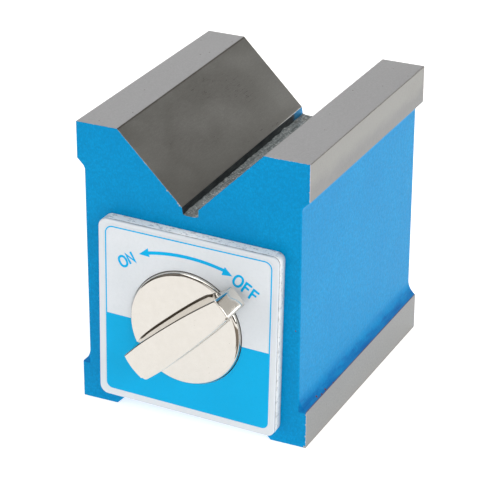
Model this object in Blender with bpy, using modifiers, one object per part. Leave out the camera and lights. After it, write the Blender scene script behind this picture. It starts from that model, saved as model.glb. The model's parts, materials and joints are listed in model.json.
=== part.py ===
"""Switchable magnetic V-block: two steel pole blocks around a turning magnet, worked by a quarter-turn knob.

Metres, +Z up. The knob faces -Y and the V-groove runs along Y on top of the block. Lengths below are in
millimetres, and depths (the "y" of every profile) are counted from the painted front face of the block,
negative towards the knob.
"""

import math

import bmesh
import bpy
from mathutils import Matrix

MM = 0.001

# ---- block ----
BLOCK_W = 60.0
BLOCK_D = 70.0
BLOCK_H = 73.0
V_HALF = 19.0  # half opening of the 90 degree V at the top
SLOT_HALF_TOP = 2.45  # relief slot under the V, at its mouth
POLE_GAP_HALF = 2.1  # half distance between the two poles
SLOT_FLOOR = 54.0
LIP_BAND = 9.5  # ground side band of the top lips
FOOT_BAND = 9.6  # ground side band of the feet
SIDE_RELIEF = 1.9  # how far the painted sides are set back
FOOT_INNER = 20.6
CHANNEL = 2.5
SPACER_HALF = 1.9

# ---- bore and what turns in it ----
AXIS_X, AXIS_Z = 0.4, 27.25
BORE_R = 17.0
FRONT_POCKET_R, FRONT_POCKET_D = 20.0, 3.2
REAR_POCKET_R, REAR_POCKET_D = 22.0, 2.5
ROTOR_R = 16.7
MAGNET_HALF = 6.2  # half thickness of the magnet slab
TURN = 90.0  # degrees from OFF to ON

# ---- front plate and label ----
PLATE_W = 46.9
PLATE_CX, PLATE_CZ = 0.45, 27.3
PLATE_CORNER = 2.6
PLATE_TILT = -1.2  # degrees; the plate sits slightly clockwise in its screw holes
PLATE_FRONT, PLATE_BACK = -3.5, -0.2
PLATE_HOLE_R = 14.75
LABEL_W, LABEL_H, LABEL_CORNER = 43.6, 43.9, 2.6
LABEL_CX, LABEL_CZ = 0.45, 27.5
LABEL_TILT = -1.4  # degrees; the sheet is stuck on a little further round than the plate
LABEL_FRONT, LABEL_BACK = -3.8, -3.6
SCREW_GRID = 17.8

# ---- knob ----
KNOB_TOP = -12.3
DISC_TOP = -5.04
DISC_FACE_R = 13.6
DISC_R = 14.5
FLANGE_R = 19.6
POINTER_ANGLE = 41.8  # the bar's pointer at OFF, degrees above +X seen from the front
STOP_R = 17.8  # radius at which the stop pin sits
STOP_PIN_R = 1.2

# the bounding box runs from the top of the knob's bar to the block's back face, centred on the origin
FRONT_Y = -(BLOCK_D + KNOB_TOP) / 2  # where the block's front face lies


# ---------------------------------------------------------------- scene
for old in list(bpy.data.objects):
    bpy.data.objects.remove(old, do_unlink=True)

parts = bpy.data.collections.new("magnetic_v_block")
cutters = bpy.data.collections.new("cutters")
cutters.hide_render = True
for collection in (parts, cutters):
    bpy.context.scene.collection.children.link(collection)


def material(name, colour, rough, metal):
    mat = bpy.data.materials.new(name)
    mat.use_nodes = True
    bsdf = mat.node_tree.nodes["Principled BSDF"]
    bsdf.inputs["Base Color"].default_value = (*colour, 1.0)
    bsdf.inputs["Roughness"].default_value = rough
    bsdf.inputs["Metallic"].default_value = metal
    mat.diffuse_color = (*colour, 1.0)
    return mat


BLUE = (0.004, 0.25, 0.62)
STEEL = (0.50, 0.49, 0.48)
BRASS = (0.72, 0.52, 0.22)


def place(obj, centre_z=0.0, centre_x=0.0, where=parts):
    """Local X to the right, local Y up and local Z out of the front face."""
    obj.location = (centre_x * MM, FRONT_Y * MM, centre_z * MM)
    obj.rotation_euler = (math.pi / 2, 0, 0)
    where.objects.link(obj)
    if where is cutters:
        obj.hide_render = True
        obj.display_type = "WIRE"
    return obj


def turned(name, profile, steps, mat=None, centre=(AXIS_X, AXIS_Z), ring=False, where=parts):
    """A turned piece about the front-to-back axis. The profile is (radius, depth), front to back down its
    outer side; a ring comes back to the front along its inner side."""
    mesh = bpy.data.meshes.new(name)
    points = [(r * MM, 0.0, -y * MM) for r, y in profile]
    edges = [(i, i + 1) for i in range(len(points) - 1)]
    if ring:
        edges.append((len(points) - 1, 0))
    mesh.from_pydata(points, edges, [])
    obj = place(bpy.data.objects.new(name, mesh), centre[1], centre[0], where)
    screw = obj.modifiers.new("turn", "SCREW")
    screw.axis = "Z"
    screw.angle = 2 * math.pi
    screw.steps = screw.render_steps = steps
    screw.use_merge_vertices = True
    screw.merge_threshold = 0.00001
    screw.use_smooth_shade = True
    if mat:
        mesh.materials.append(mat)
    return obj


def as_mesh(curve_obj, mat):
    """The solid of a filled 2D curve, its caps welded, in place of the curve."""
    graph = bpy.context.evaluated_depsgraph_get()
    mesh = bpy.data.meshes.new_from_object(curve_obj.evaluated_get(graph))
    name, where = curve_obj.name, curve_obj.users_collection[0]
    matrix = curve_obj.matrix_world.copy()
    bpy.data.objects.remove(curve_obj, do_unlink=True)
    mesh.materials.clear()
    shape = bmesh.new()
    shape.from_mesh(mesh)
    bmesh.ops.remove_doubles(shape, verts=shape.verts, dist=1e-6)
    bmesh.ops.dissolve_limit(shape, angle_limit=0.001, verts=shape.verts, edges=shape.edges)
    bmesh.ops.recalc_face_normals(shape, faces=shape.faces)
    shape.to_mesh(mesh)
    shape.free()
    if mat:
        mesh.materials.append(mat)
    obj = bpy.data.objects.new(name, mesh)
    where.objects.link(obj)
    obj.matrix_world = matrix
    if where is cutters:
        obj.hide_render = True
        obj.display_type = "WIRE"
    return obj


def prism(name, outline, front, back, mat=None, centre=(0.0, 0.0), where=parts):
    """A flat outline in the front view, solid between two depths."""
    curve = bpy.data.curves.new(name, "CURVE")
    curve.dimensions = "2D"
    curve.fill_mode = "BOTH"
    curve.extrude = (back - front) / 2 * MM
    spline = curve.splines.new("POLY")
    spline.points.add(len(outline) - 1)
    for point, (x, z) in zip(spline.points, outline):
        point.co = (x * MM, z * MM, 0, 1)
    spline.use_cyclic_u = True
    obj = place(bpy.data.objects.new(name, curve), centre[1], centre[0], where)
    obj.location.y += (front + back) / 2 * MM
    bpy.context.view_layer.update()
    return as_mesh(obj, mat)


def move_origin(obj, x, z):
    """Puts the origin on a front-to-back axis, at the front face, without moving the shape."""
    goal = Matrix.Translation((x * MM, FRONT_Y * MM, z * MM)) @ Matrix.Rotation(math.pi / 2, 4, "X")
    bpy.context.view_layer.update()
    obj.data.transform(goal.inverted() @ obj.matrix_world)
    obj.matrix_world = goal


def cylinder(name, x, z, radius, front, back, vertices=24):
    """A round cutter along the front-to-back direction."""
    return turned(name, [(0, front), (radius, front), (radius, back), (0, back)], vertices, None, (x, z), where=cutters)


def boolean(obj, other, operation="DIFFERENCE"):
    mod = obj.modifiers.new(other.name, "BOOLEAN")
    mod.operation = operation
    mod.solver = "EXACT"
    mod.object = other


def bevel(obj, width, segments=2, angle=40.0):
    mod = obj.modifiers.new("edges", "BEVEL")
    mod.width = width * MM
    mod.segments = segments
    mod.limit_method = "ANGLE"
    mod.angle_limit = math.radians(angle)


def arc(cx, cz, radius, start, end, count):
    """Points of an arc, in degrees, both ends included."""
    return [
        (
            cx + radius * math.cos(math.radians(start + (end - start) * i / count)),
            cz + radius * math.sin(math.radians(start + (end - start) * i / count)),
        )
        for i in range(count + 1)
    ]


def rounded_rectangle(width, height, corner, tilt, count=6):
    across, up = width / 2 - corner, height / 2 - corner
    points = (
        arc(across, up, corner, 0, 90, count)
        + arc(-across, up, corner, 90, 180, count)
        + arc(-across, -up, corner, 180, 270, count)
        + arc(across, -up, corner, 270, 360, count)
    )
    c, s = math.cos(math.radians(tilt)), math.sin(math.radians(tilt))
    return [(x * c - z * s, x * s + z * c) for x, z in points]


# ---------------------------------------------------------------- pole blocks
# One half of the front view, from the slot round to the channel under the block.
half_outline = [
    (POLE_GAP_HALF, SLOT_FLOOR + 0.3),
    (SLOT_HALF_TOP, SLOT_FLOOR + SLOT_HALF_TOP),
    (V_HALF, BLOCK_H),
    (BLOCK_W / 2, BLOCK_H),
    (BLOCK_W / 2, BLOCK_H - LIP_BAND),
    (BLOCK_W / 2 - SIDE_RELIEF + 0.6, BLOCK_H - LIP_BAND - 1.2),
    (BLOCK_W / 2 - SIDE_RELIEF, BLOCK_H - LIP_BAND - 2.6),
    (BLOCK_W / 2 - SIDE_RELIEF, FOOT_BAND + 2.6),
    (BLOCK_W / 2 - SIDE_RELIEF + 0.6, FOOT_BAND + 1.2),
    (BLOCK_W / 2, FOOT_BAND),
    (BLOCK_W / 2, 0.0),
    (FOOT_INNER, 0.0),
    (FOOT_INNER - CHANNEL, CHANNEL),
    (POLE_GAP_HALF, CHANNEL),
]
pole_right = prism("right_pole_block", half_outline, 0, BLOCK_D, material("right_pole_block", BLUE, 0.35, 0.0))
pole_left = prism(
    "left_pole_block", [(-x, z) for x, z in half_outline], 0, BLOCK_D, material("left_pole_block", BLUE, 0.35, 0.0)
)

bore_cut = turned(
    "bore_cut",
    [
        (0, -1),
        (FRONT_POCKET_R, -1),
        (FRONT_POCKET_R, FRONT_POCKET_D),
        (BORE_R, FRONT_POCKET_D),
        (BORE_R, BLOCK_D - REAR_POCKET_D),
        (REAR_POCKET_R, BLOCK_D - REAR_POCKET_D),
        (REAR_POCKET_R, BLOCK_D + 1),
        (0, BLOCK_D + 1),
    ],
    64,
    where=cutters,
)
for pole in (pole_left, pole_right):
    boolean(pole, bore_cut)

# ---------------------------------------------------------------- spacers between the poles
spacer_metal = (0.42, 0.41, 0.40)
upper = prism(
    "upper_spacer",
    [(-SPACER_HALF, AXIS_Z + 10), (SPACER_HALF, AXIS_Z + 10), (SPACER_HALF, SLOT_FLOOR), (-SPACER_HALF, SLOT_FLOOR)],
    0,
    BLOCK_D,
    material("upper_spacer", spacer_metal, 0.6, 1.0),
)
lower = prism(
    "lower_spacer",
    [(-SPACER_HALF, CHANNEL), (SPACER_HALF, CHANNEL), (SPACER_HALF, AXIS_Z - 10), (-SPACER_HALF, AXIS_Z - 10)],
    0,
    BLOCK_D,
    material("lower_spacer", spacer_metal, 0.6, 1.0),
)
for spacer in (upper, lower):
    boolean(spacer, bore_cut)

# ---------------------------------------------------------------- front plate, label and their screws
plate = prism(
    "front_plate",
    rounded_rectangle(PLATE_W, PLATE_W, PLATE_CORNER, PLATE_TILT),
    PLATE_FRONT,
    PLATE_BACK,
    material("front_plate", (0.62, 0.63, 0.66), 0.5, 0.6),
    (PLATE_CX, PLATE_CZ),
)
bevel(plate, 0.5)
boolean(plate, cylinder("plate_hole", AXIS_X, AXIS_Z, PLATE_HOLE_R, PLATE_FRONT - 1, PLATE_BACK + 1, 64))

label = prism(
    "label_sheet",
    rounded_rectangle(LABEL_W, LABEL_H, LABEL_CORNER, LABEL_TILT),
    LABEL_FRONT,
    LABEL_BACK,
    material("label_sheet", (0.72, 0.75, 0.78), 0.4, 0.0),
    (LABEL_CX, LABEL_CZ),
)
boolean(label, cylinder("label_hole", AXIS_X, AXIS_Z, PLATE_HOLE_R, LABEL_FRONT - 1, LABEL_BACK + 1, 64))

# countersunk screws: head radius 2.8, shank radius 1.5, with a hexagon socket
HEAD_R, SHANK_R, HEAD_H, SOCKET_R, SOCKET_D = 2.8, 1.5, 1.7, 1.1, 1.2


def screw(name, x, z, face, direction, length, scale=1.0, mat=None):
    """A countersunk screw whose head is flush with the depth `face` and whose shank runs along `direction`."""
    head_r, shank_r, head_h = HEAD_R * scale, SHANK_R * scale, HEAD_H * scale
    side = [(0, 0), (head_r, 0), (head_r, 0.25), (shank_r, head_h), (shank_r, length - 0.5), (shank_r - 0.4, length), (0, length)]
    profile = [(r, face + direction * d) for r, d in side]
    if direction < 0:
        profile.reverse()
    obj = turned(name, profile, 18, mat or material(name, STEEL, 0.35, 1.0), (x, z))
    ends = sorted((face - direction, face + direction * SOCKET_D * scale))
    socket = cylinder(name + "_socket", x, z, SOCKET_R * scale, *ends, vertices=6)
    boolean(obj, socket)
    return obj


def screw_seat(name, x, z, face, direction, depth, scale=1.0):
    """The countersink and clearance hole around such a screw, 0.2 mm larger all round."""
    head_r, shank_r, head_h = HEAD_R * scale + 0.2, SHANK_R * scale + 0.2, HEAD_H * scale + 0.2
    side = [(0, -1), (head_r, -1), (head_r, 0.3), (shank_r, head_h), (shank_r, depth), (0, depth)]
    profile = [(r, face + direction * d) for r, d in side]
    if direction < 0:
        profile.reverse()
    return turned(name, profile, 18, None, (x, z), where=cutters)


corners = {
    "top_right": (PLATE_CX + SCREW_GRID, PLATE_CZ + SCREW_GRID),
    "top_left": (PLATE_CX - SCREW_GRID, PLATE_CZ + SCREW_GRID),
    "bottom_left": (PLATE_CX - SCREW_GRID, PLATE_CZ - SCREW_GRID),
    "bottom_right": (PLATE_CX + SCREW_GRID, PLATE_CZ - SCREW_GRID),
}
for corner, (x, z) in corners.items():
    screw(f"front_plate_screw_{corner}", x, z, PLATE_FRONT, 1, 11.0)
    seat = screw_seat(f"front_seat_{corner}", x, z, PLATE_FRONT, 1, 12.0)
    boolean(plate, seat)
    boolean(pole_right if x > 0 else pole_left, seat)

# the stop pin is pressed into the back of the plate and reaches into the notch of the knob's flange
boolean(plate, cylinder("stop_pin_hole", AXIS_X, AXIS_Z + STOP_R, STOP_PIN_R + 0.1, -2.4, 0.5))
turned(
    "stop_pin",
    [(0, -2.2), (STOP_PIN_R, -2.2), (STOP_PIN_R, 2.5), (STOP_PIN_R - 0.3, 2.8), (0, 2.8)],
    20,
    material("stop_pin", STEEL, 0.3, 1.0),
    (AXIS_X, AXIS_Z + STOP_R),
)

# ---------------------------------------------------------------- knob
knob_metal = material("knob", (0.75, 0.73, 0.69), 0.08, 1.0)
# disc, seal groove, trapped flange and journal are turned in one piece with the bar
knob = turned(
    "knob",
    [
        (0, DISC_TOP),
        (DISC_FACE_R, DISC_TOP),
        (DISC_FACE_R + 0.38, DISC_TOP + 0.1),
        (DISC_FACE_R + 0.68, DISC_TOP + 0.38),
        (DISC_FACE_R + 0.85, DISC_TOP + 0.76),
        (DISC_R, DISC_TOP + 1.2),
        (DISC_R, -2.9),
        (12.95, -2.9),
        (12.95, -1.1),
        (DISC_R, -1.1),
        (DISC_R, 0.1),
        (FLANGE_R, 0.1),
        (FLANGE_R, 2.9),
        (8.0, 2.9),
        (8.0, 11.6),
        (0, 11.6),
    ],
    64,
    knob_metal,
)

# The bar: half widths along its length, at the top and where it meets the disc. The sides lean out by 5 to 8
# degrees and the pointer end hangs over the rim, close above the label.
BAR_TOP = [(-13.6, 3.2), (-13.0, 3.6), (-10.0, 3.9), (-5.6, 4.15), (-0.6, 4.1), (5.4, 3.8), (8.2, 3.55), (10.9, 3.2), (13.9, 2.9), (16.7, 2.6), (17.3, 2.1)]
BAR_BASE = [(-13.8, 3.7), (-13.2, 4.1), (-10.0, 4.4), (-5.6, 4.7), (-0.6, 4.8), (5.4, 4.6), (8.2, 4.45), (10.9, 4.2), (13.9, 3.6), (19.1, 2.5), (19.6, 2.1)]
BAR_FOOT = -4.1
NOSE_UNDERSIDE = -6.0  # the pointer end is cut back this far in front of the plate's mounting plane
NOSE_FROM = 13.9  # the cut starts at the disc's rim
BAR_TOP_SHIFT = -0.25  # the top lies a little off the middle of the foot


def loop_of(half_widths, shift=0.0):
    return [(s, w + shift) for s, w in half_widths] + [(s, shift - w) for s, w in reversed(half_widths)]


def loft(name, sections, where=cutters):
    """A closed solid through outlines of equal point count, each (outline, depth), front to back."""
    shape = bmesh.new()
    loops = [[shape.verts.new((s * MM, w * MM, -y * MM)) for s, w in outline] for outline, y in sections]
    for near, far in zip(loops, loops[1:]):
        for i in range(len(near)):
            j = (i + 1) % len(near)
            shape.faces.new((near[i], near[j], far[j], far[i]))
    shape.faces.new(loops[0])
    shape.faces.new(list(reversed(loops[-1])))
    bmesh.ops.recalc_face_normals(shape, faces=shape.faces)
    mesh = bpy.data.meshes.new(name)
    shape.to_mesh(mesh)
    shape.free()
    return place(bpy.data.objects.new(name, mesh), AXIS_Z, AXIS_X, where)


def inset(half_widths, by):
    """The same outline, drawn in by a little along and across."""
    middle = (half_widths[0][0] + half_widths[-1][0]) / 2
    half = (half_widths[-1][0] - half_widths[0][0]) / 2
    return [(middle + (s - middle) * (half - by) / half, w - by) for s, w in half_widths]


top_loop, base_loop = loop_of(BAR_TOP, BAR_TOP_SHIFT), loop_of(BAR_BASE)
share = (NOSE_UNDERSIDE - KNOB_TOP - 0.45) / (BAR_FOOT - KNOB_TOP - 0.45)
under_loop = [(s + (t - s) * share, w + (v - w) * share) for (s, w), (t, v) in zip(top_loop, base_loop)]
bar = loft(
    "bar",
    [
        (loop_of(inset(BAR_TOP, 0.42), BAR_TOP_SHIFT), KNOB_TOP),
        (loop_of(inset(BAR_TOP, 0.13), BAR_TOP_SHIFT), KNOB_TOP + 0.13),
        (top_loop, KNOB_TOP + 0.45),
        (under_loop, NOSE_UNDERSIDE),
        ([(min(s, NOSE_FROM), w) for s, w in under_loop], NOSE_UNDERSIDE + 0.02),
        ([(min(s, NOSE_FROM), w) for s, w in base_loop], BAR_FOOT),
    ],
)
bar.rotation_euler = (Matrix.Rotation(math.pi / 2, 4, "X") @ Matrix.Rotation(math.radians(POINTER_ANGLE), 4, "Z")).to_euler()
boolean(knob, bar, "UNION")

# square drive end that carries the rotor round
TENON = 9.0
tenon = prism(
    "tenon",
    [(-TENON / 2, -TENON / 2), (TENON / 2, -TENON / 2), (TENON / 2, TENON / 2), (-TENON / 2, TENON / 2)],
    10.0,
    14.9,
    None,
    (AXIS_X, AXIS_Z),
    where=cutters,
)
boolean(knob, tenon, "UNION")

# the notch takes a quarter turn of the flange off, plus the stop pin's own width and a little play
play = math.degrees(math.asin((STOP_PIN_R + 0.12) / STOP_R))
notch = prism(
    "stop_notch",
    arc(0, 0, 21.0, 90 - TURN - play, 90 + play, 16) + arc(0, 0, 16.2, 90 + play, 90 - TURN - play, 16),
    -0.1,
    3.3,
    None,
    (AXIS_X, AXIS_Z),
    where=cutters,
)
boolean(knob, notch)

# O-ring in the disc's groove
ring_profile = [(13.75 + 0.75 * math.cos(a), -2.0 - 0.75 * math.sin(a)) for a in [math.radians(360 * i / 8 + 22.5) for i in range(8)]]
turned("knob_o_ring", ring_profile[::-1], 48, material("knob_o_ring", (0.015, 0.015, 0.015), 0.6, 0.0), ring=True)


# ---------------------------------------------------------------- rotor
def washer(name, inner, outer, front, back, mat, steps=48):
    return turned(name, [(inner, front), (outer, front), (outer, back), (inner, back)], steps, mat, ring=True)


wave = washer("wave_washer", 10.0, 16.0, 3.45, 3.95, material("wave_washer", (0.45, 0.45, 0.46), 0.3, 1.0))
graph = bpy.context.evaluated_depsgraph_get()
wave_mesh = bpy.data.meshes.new_from_object(wave.evaluated_get(graph))
wave.modifiers.clear()
for vertex in wave_mesh.vertices:  # three shallow waves round the ring
    vertex.co.z += 0.25 * MM * math.cos(3 * math.atan2(vertex.co.y, vertex.co.x))
wave.data = wave_mesh

washer("front_bush", 8.1, 16.8, 4.6, 11.3, material("front_bush", BRASS, 0.35, 1.0))
washer("rear_bush", 7.1, 16.8, 62.0, 67.0, material("rear_bush", BRASS, 0.35, 1.0))
washer("thrust_washer", 7.3, 14.0, 60.9, 61.7, material("thrust_washer", (0.70, 0.68, 0.60), 0.4, 0.0))

front_cap = turned(
    "rotor_front_cap",
    [(0, 11.9), (ROTOR_R - 0.1, 11.9), (ROTOR_R - 0.1, 15.2), (0, 15.2)],
    48,
    material("rotor_front_cap", BRASS, 0.4, 1.0),
)
boolean(
    front_cap,
    prism(
        "tenon_socket",
        [(-4.8, -4.8), (4.8, -4.8), (4.8, 4.8), (-4.8, 4.8)],
        11.0,
        16.0,
        None,
        (AXIS_X, AXIS_Z),
        where=cutters,
    ),
)

MAGNET_X = math.sqrt(ROTOR_R**2 - MAGNET_HALF**2) - 0.2
magnet = prism(
    "rotor_magnet",
    [(-MAGNET_X, -MAGNET_HALF), (MAGNET_X, -MAGNET_HALF), (MAGNET_X, MAGNET_HALF), (-MAGNET_X, MAGNET_HALF)],
    15.6,
    56.9,
    material("rotor_magnet", (0.06, 0.06, 0.065), 0.55, 0.0),
    (AXIS_X, AXIS_Z),
)
shoe_half = MAGNET_HALF + 0.3
edge = math.degrees(math.asin(shoe_half / ROTOR_R))
shoe_metal = material("rotor_shoe_upper", STEEL, 0.4, 1.0)
shoe_up = prism("rotor_shoe_upper", arc(0, 0, ROTOR_R, edge, 180 - edge, 22), 15.5, 57.0, shoe_metal, (AXIS_X, AXIS_Z))
shoe_down = prism(
    "rotor_shoe_lower",
    arc(0, 0, ROTOR_R, 180 + edge, 360 - edge, 22),
    15.5,
    57.0,
    material("rotor_shoe_lower", STEEL, 0.4, 1.0),
    (AXIS_X, AXIS_Z),
)
rear_cap = turned(
    "rotor_rear_cap",
    [(0, 57.3), (ROTOR_R - 0.1, 57.3), (ROTOR_R - 0.1, 60.6), (7.0, 60.6), (7.0, 66.8), (0, 66.8)],
    48,
    material("rotor_rear_cap", BRASS, 0.4, 1.0),
)
for where_to, shoe, height in (("upper", shoe_up, 11.0), ("lower", shoe_down, -11.0)):
    z = AXIS_Z + height
    for end, face, direction, cap in (("front", 11.9, 1, front_cap), ("rear", 60.6, -1, rear_cap)):
        screw(f"rotor_{end}_screw_{where_to}", AXIS_X, z, face, direction, 10.0, 0.75)
        seat = screw_seat(f"rotor_{end}_seat_{where_to}", AXIS_X, z, face, direction, 11.0, 0.75)
        boolean(cap, seat)
        boolean(shoe, seat)

# ---------------------------------------------------------------- rear cover
COVER_R = REAR_POCKET_R - 0.2
rear_cover = turned(
    "rear_cover",
    [(0, 67.8), (COVER_R, 67.8), (COVER_R, 69.6), (COVER_R - 0.3, 69.9), (0, 69.9)],
    64,
    material("rear_cover", (0.55, 0.55, 0.56), 0.35, 1.0),
)
for index, angle in enumerate((45, 135, 225, 315), 1):
    x = AXIS_X + 19.3 * math.cos(math.radians(angle))
    z = AXIS_Z + 19.3 * math.sin(math.radians(angle))
    screw(f"rear_cover_screw_{index}", x, z, 69.9, -1, 9.0, 0.72)
    seat = screw_seat(f"rear_seat_{index}", x, z, 69.9, -1, 10.0, 0.72)
    boolean(rear_cover, seat)
    boolean(pole_right if x > 0 else pole_left, seat)

# ---------------------------------------------------------------- grouping
body = bpy.data.objects.new("body", None)
parts.objects.link(body)
turning = bpy.data.objects.new("switch_turn", None)
turning.location = (AXIS_X * MM, FRONT_Y * MM, AXIS_Z * MM)
turning.parent = body
parts.objects.link(turning)
bpy.context.view_layer.update()
for obj in list(parts.objects):
    if obj.type != "MESH":
        continue
    moving = obj.name.startswith(("knob", "rotor"))
    if moving:
        # the turned pieces already have their origin on the axis; the cut-out ones are moved to it
        if not obj.modifiers or obj.modifiers[0].type != "SCREW":
            move_origin(obj, AXIS_X, AXIS_Z)
    matrix = obj.matrix_world.copy()
    obj.parent = turning if moving else body
    obj.matrix_world = matrix
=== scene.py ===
"""The finished looks of the switchable magnetic V-block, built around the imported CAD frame.

Lengths in the helpers are millimetres, with depths counted from the block's painted front face, as on a drawing.
Pieces are built in the row frame, so their object coordinates are the row's own coordinates.
"""

import json
import math

import bmesh
import bpy
from mathutils import Matrix, Vector, noise

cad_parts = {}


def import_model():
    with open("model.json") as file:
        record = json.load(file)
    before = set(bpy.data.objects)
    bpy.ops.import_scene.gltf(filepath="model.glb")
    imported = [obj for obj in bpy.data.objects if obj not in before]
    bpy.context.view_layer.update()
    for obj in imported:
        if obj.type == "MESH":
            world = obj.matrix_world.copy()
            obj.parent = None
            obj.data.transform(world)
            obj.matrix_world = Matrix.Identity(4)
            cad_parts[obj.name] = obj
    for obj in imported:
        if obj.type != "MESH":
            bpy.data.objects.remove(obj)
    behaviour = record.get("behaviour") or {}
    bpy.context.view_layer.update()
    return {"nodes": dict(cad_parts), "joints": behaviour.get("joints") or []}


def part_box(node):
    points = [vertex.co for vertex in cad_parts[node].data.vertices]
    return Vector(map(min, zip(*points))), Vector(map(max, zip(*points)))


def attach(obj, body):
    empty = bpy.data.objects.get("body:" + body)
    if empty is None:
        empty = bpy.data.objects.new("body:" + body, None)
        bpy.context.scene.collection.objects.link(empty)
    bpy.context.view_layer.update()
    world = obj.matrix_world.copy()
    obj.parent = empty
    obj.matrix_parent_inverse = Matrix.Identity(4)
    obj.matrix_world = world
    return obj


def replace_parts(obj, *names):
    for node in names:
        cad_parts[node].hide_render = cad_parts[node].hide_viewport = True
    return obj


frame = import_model()

MM = 0.001
FRONT_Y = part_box("left_pole_block")[0].y / MM
BLOCK_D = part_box("left_pole_block")[1].y / MM - FRONT_Y
BLOCK_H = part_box("left_pole_block")[1].z / MM
BLOCK_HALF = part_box("right_pole_block")[1].x / MM
AXIS_X = frame["joints"][0]["pos_m"][0] / MM
AXIS_Z = frame["joints"][0]["pos_m"][2] / MM
KNOB_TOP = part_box("knob")[0].y / MM - FRONT_Y
POINTER_ANGLE = 41.8
# The V and the slot below it wander a little along the block: how far out the V's top edge, the slot's mouth and the
# foot of the slot's wall lie, at the front and at the back, for each pole.
V_LINES = {-1: ((19.1, 2.35, 2.05), (19.8, 3.2, 2.95)), 1: ((18.5, 1.95, 1.9), (18.75, 2.1, 2.0))}


# ---------------------------------------------------------------- geometry helpers
def world(x, y, z):
    return Vector((x, y + FRONT_Y, z)) * MM


def obj_from(name, bm, smooth=True):
    mesh = bpy.data.meshes.new(name)
    bmesh.ops.recalc_face_normals(bm, faces=bm.faces)
    bm.to_mesh(mesh)
    bm.free()
    obj = bpy.data.objects.new(name, mesh)
    bpy.context.scene.collection.objects.link(obj)
    return obj


def arc(cx, cz, radius, start, end, count):
    return [
        (
            cx + radius * math.cos(math.radians(start + (end - start) * i / count)),
            cz + radius * math.sin(math.radians(start + (end - start) * i / count)),
        )
        for i in range(count + 1)
    ]


def tilted(points, degrees, centre=(0.0, 0.0)):
    c, s = math.cos(math.radians(degrees)), math.sin(math.radians(degrees))
    return [(centre[0] + x * c - z * s, centre[1] + x * s + z * c) for x, z in points]


def rounded_rectangle(width, height, corner, count=8):
    a, b = width / 2 - corner, height / 2 - corner
    return (
        arc(a, b, corner, 0, 90, count)
        + arc(-a, b, corner, 90, 180, count)
        + arc(-a, -b, corner, 180, 270, count)
        + arc(a, -b, corner, 270, 360, count)
    )


def filleted(points, radii, count=6):
    """The closed outline with the given corners rounded: radii is {index: radius}."""
    out = []
    n = len(points)
    for i, p in enumerate(points):
        r = radii.get(i, 0)
        if not r:
            out.append(p)
            continue
        p = Vector(p)
        a = (Vector(points[i - 1]) - p).normalized()
        b = (Vector(points[(i + 1) % n]) - p).normalized()
        half = a.angle(b) / 2
        reach = r / math.tan(half)
        centre = p + (a + b).normalized() * (r / math.sin(half))
        start, end = p + a * reach, p + b * reach
        v0, v1 = start - centre, end - centre
        a0 = math.atan2(v0.y, v0.x)
        turn = math.atan2(v0.x * v1.y - v0.y * v1.x, v0.dot(v1))
        for k in range(count + 1):
            t = a0 + turn * k / count
            out.append((centre.x + r * math.cos(t), centre.y + r * math.sin(t)))
    return out


def prism_bm(outline, front, back):
    bm = bmesh.new()
    near = [bm.verts.new(world(x, front, z)) for x, z in outline]
    far = [bm.verts.new(world(x, back, z)) for x, z in outline]
    bm.faces.new(near)
    bm.faces.new(list(reversed(far)))
    for i in range(len(near)):
        j = (i + 1) % len(near)
        bm.faces.new((near[i], far[i], far[j], near[j]))
    return bm


def prism(name, outline, front, back):
    return obj_from(name, prism_bm(outline, front, back))


def lathe(name, profile, steps=96, centre=None, ring=False):
    """A turned solid about a front-to-back axis, the knob's if no other is given. The profile is (radius, depth)."""
    cx, cz = centre or (AXIS_X, AXIS_Z)
    bm = bmesh.new()
    rows = []
    for r, y in profile:
        if r < 1e-6:
            rows.append([bm.verts.new(world(cx, y, cz))])
        else:
            rows.append(
                [
                    bm.verts.new(world(cx + r * math.cos(2 * math.pi * k / steps), y, cz + r * math.sin(2 * math.pi * k / steps)))
                    for k in range(steps)
                ]
            )
    pairs = list(zip(rows, rows[1:])) + ([(rows[-1], rows[0])] if ring else [])
    for a, b in pairs:
        for k in range(steps):
            m = (k + 1) % steps
            if len(a) == 1 and len(b) == 1:
                continue
            if len(a) == 1:
                bm.faces.new((a[0], b[k], b[m]))
            elif len(b) == 1:
                bm.faces.new((a[k], a[m], b[0]))
            else:
                bm.faces.new((a[k], a[m], b[m], b[k]))
    return obj_from(name, bm)


def rounded_profile(corners, count=5):
    """A turned profile (radius, depth) with rounded corners: each entry is (radius, depth, rounding)."""
    pts = [(r, y) for r, y, _ in corners]
    return filleted_open(pts, [c[2] for c in corners], count)


def filleted_open(points, radii, count):
    out = [points[0]]
    for i in range(1, len(points) - 1):
        r = radii[i]
        if not r:
            out.append(points[i])
            continue
        p = Vector(points[i])
        a = (Vector(points[i - 1]) - p).normalized()
        b = (Vector(points[i + 1]) - p).normalized()
        half = a.angle(b) / 2
        centre = p + (a + b).normalized() * (r / math.sin(half))
        reach = r / math.tan(half)
        v0, v1 = p + a * reach - centre, p + b * reach - centre
        a0 = math.atan2(v0.y, v0.x)
        turn = math.atan2(v0.x * v1.y - v0.y * v1.x, v0.dot(v1))
        for k in range(count + 1):
            t = a0 + turn * k / count
            out.append((centre.x + r * math.cos(t), centre.y + r * math.sin(t)))
    out.append(points[-1])
    return out


def freeze(obj):
    """Applies every modifier."""
    graph = bpy.context.evaluated_depsgraph_get()
    mesh = bpy.data.meshes.new_from_object(obj.evaluated_get(graph))
    obj.modifiers.clear()
    old = obj.data
    obj.data = mesh
    bpy.data.meshes.remove(old)
    return obj


def boolean(obj, other, operation="DIFFERENCE", keep=False):
    mod = obj.modifiers.new("boolean", "BOOLEAN")
    mod.operation = operation
    mod.solver = "EXACT"
    mod.object = other
    freeze(obj)
    if not keep:
        bpy.data.objects.remove(other, do_unlink=True)
    return obj


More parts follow.
